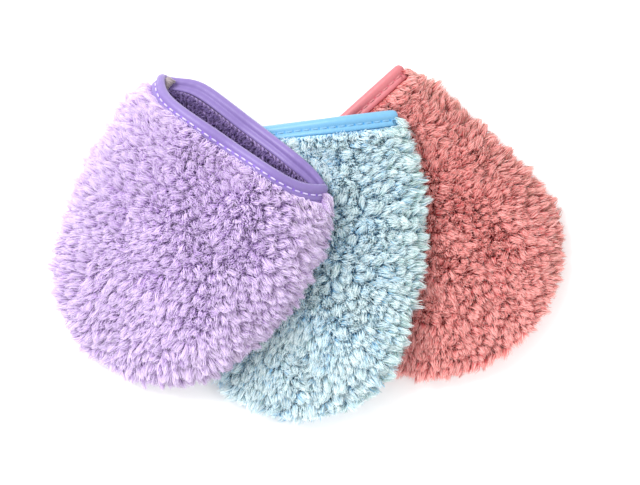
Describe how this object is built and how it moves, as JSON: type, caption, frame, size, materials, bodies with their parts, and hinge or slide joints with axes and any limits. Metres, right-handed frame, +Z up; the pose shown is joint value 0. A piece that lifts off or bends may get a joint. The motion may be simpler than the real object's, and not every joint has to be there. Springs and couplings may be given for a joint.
{
  "type": "plush cleansing mitt set",
  "caption": "Fanned set of soft plush cleansing mitts, each a round-ended pouch of two pile panels with a bound mouth for the hand, one lying open on top.",
  "frame": {"origin": "on the surface the set lies on, under the middle of its bounding box", "axes": "+Z up from the surface; +X along the fan, from the lilac mitt towards the pink one; +Y towards the mouths"},
  "size_m": [0.256, 0.1808, 0.0507],
  "materials": {
    "pink_plush": "long soft pile",
    "pink_tape": "smooth satin weave",
    "pink_thread": "spun polyester",
    "blue_plush": "long soft pile",
    "blue_tape": "smooth satin weave",
    "blue_thread": "spun polyester",
    "lilac_plush": "long soft pile",
    "lilac_tape": "smooth satin weave",
    "lilac_thread": "spun polyester"
  },
  "bodies": {
    "pink": {"pink_back_panel": "pink_plush", "pink_front_panel": "pink_plush", "pink_cuff_binding": "pink_tape", "pink_cuff_topstitch": "pink_thread", "pink_edge_seam_thread": "pink_thread", "pink_corner_seam": "pink_thread"},
    "blue": {"blue_back_panel": "blue_plush", "blue_front_panel": "blue_plush", "blue_cuff_binding": "blue_tape", "blue_cuff_topstitch": "blue_thread", "blue_edge_seam_thread": "blue_thread", "blue_corner_seam": "blue_thread"},
    "lilac": {"lilac_back_panel": "lilac_plush", "lilac_cuff_binding": "lilac_tape", "lilac_cuff_topstitch": "lilac_thread", "lilac_edge_seam_thread": "lilac_thread", "lilac_corner_seam": "lilac_thread"},
    "lilac_front": {"lilac_front_panel": "lilac_plush"}
  },
  "joints": [
    {"name": "blue_lift", "type": "slide", "parent": "pink", "child": "blue", "axis": [0, 0, 1], "range_m": [0, 0.08]},
    {"name": "lilac_lift", "type": "slide", "parent": "blue", "child": "lilac", "axis": [0, 0, 1], "range_m": [0, 0.08]},
    {"name": "lilac_mouth", "type": "hinge", "parent": "lilac", "child": "lilac_front", "pos_m": [-0.11039, -0.05735, 0.0281], "axis": [0.8241, -0.5664, 0], "range_deg": [0, 14], "deforming": ["lilac_cuff_binding", "lilac_cuff_topstitch"]}
  ]
}
